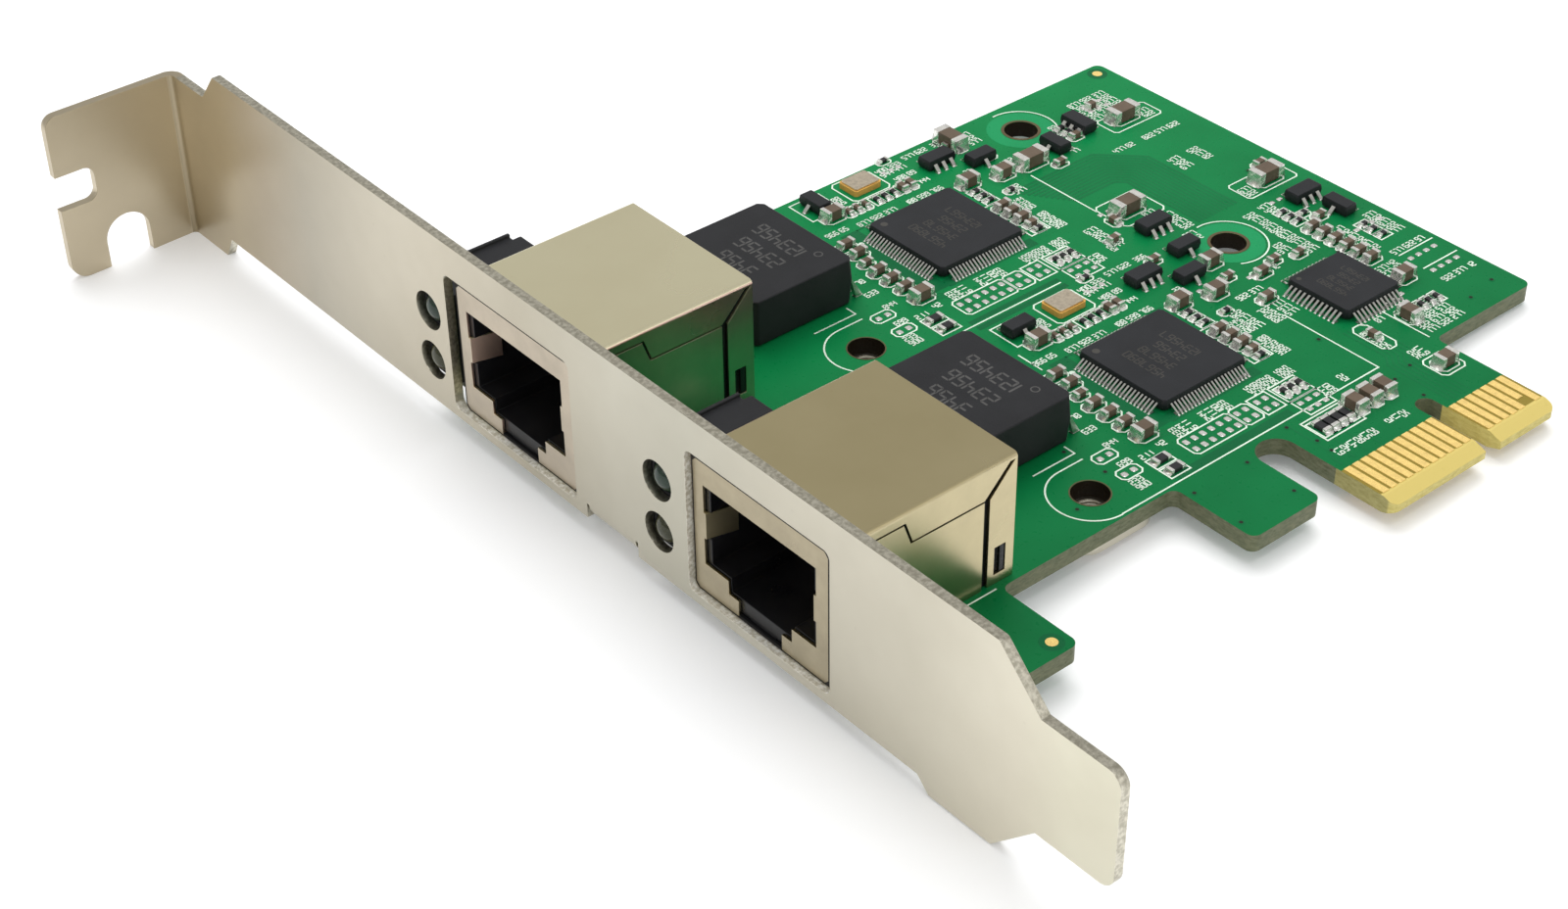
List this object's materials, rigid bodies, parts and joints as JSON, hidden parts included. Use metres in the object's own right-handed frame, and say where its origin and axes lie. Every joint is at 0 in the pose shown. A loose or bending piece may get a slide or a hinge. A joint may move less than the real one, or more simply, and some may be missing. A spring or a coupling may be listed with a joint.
{
  "type": "network interface card",
  "caption": "Two-port wired network card for a PCI Express x1 slot, on a full-height slotted bracket with shielded sockets, lamps, transformers and controllers",
  "frame": {"origin": "centre of the edge connector's key notch, on the line of the contact tips, on the board's component side", "axes": "+X along the board away from the bracket, +Y up the card from the edge connector to the screw tab's side, +Z out of the component side"},
  "size_m": [0.0929, 0.12, 0.0197],
  "materials": {
    "bracket_plate": "satin nickel plate",
    "board": "green solder mask on glass fibre",
    "gold": "gold plate",
    "shield": "bright plated sheet",
    "black_plastic": "moulded, matt",
    "lamp_green": "translucent",
    "lamp_yellow": "translucent",
    "solder": "bright tin",
    "chip": "moulded, matt",
    "ceramic": "fired ceramic with a plated rim",
    "capacitor": "fired ceramic"
  },
  "bodies": {
    "root": {"bracket": "bracket_plate", "circuit_board": "board", "edge_contacts_front": "gold", "edge_contacts_back": "gold", "jack_shield_1": "shield", "jack_shield_2": "shield", "jack_housing_1": "black_plastic", "jack_housing_2": "black_plastic", "jack_contacts_1": "gold", "jack_contacts_2": "gold", "lamp_block_1": "black_plastic", "lamp_block_2": "black_plastic", "lamp_upper_1": "lamp_green", "lamp_upper_2": "lamp_green", "lamp_lower_1": "lamp_yellow", "lamp_lower_2": "lamp_yellow", "solder_joints_1": "solder", "solder_joints_2": "solder", "transformer_1": "black_plastic", "transformer_2": "black_plastic", "transformer_leads_1": "solder", "transformer_leads_2": "solder", "controller_1": "chip", "controller_2": "chip", "controller_leads_1": "solder", "controller_leads_2": "solder", "bridge_chip": "chip", "bridge_chip_leads": "solder", "crystal_1": "ceramic", "crystal_2": "ceramic", "crystal_lid_1": "shield", "crystal_lid_2": "shield", "transistors": "chip", "transistor_leads": "solder", "regulators": "chip", "regulator_leads": "solder", "capacitor_bodies": "capacitor", "capacitor_ends": "solder", "resistor_bodies": "chip", "resistor_ends": "solder"}
  },
  "joints": []
}
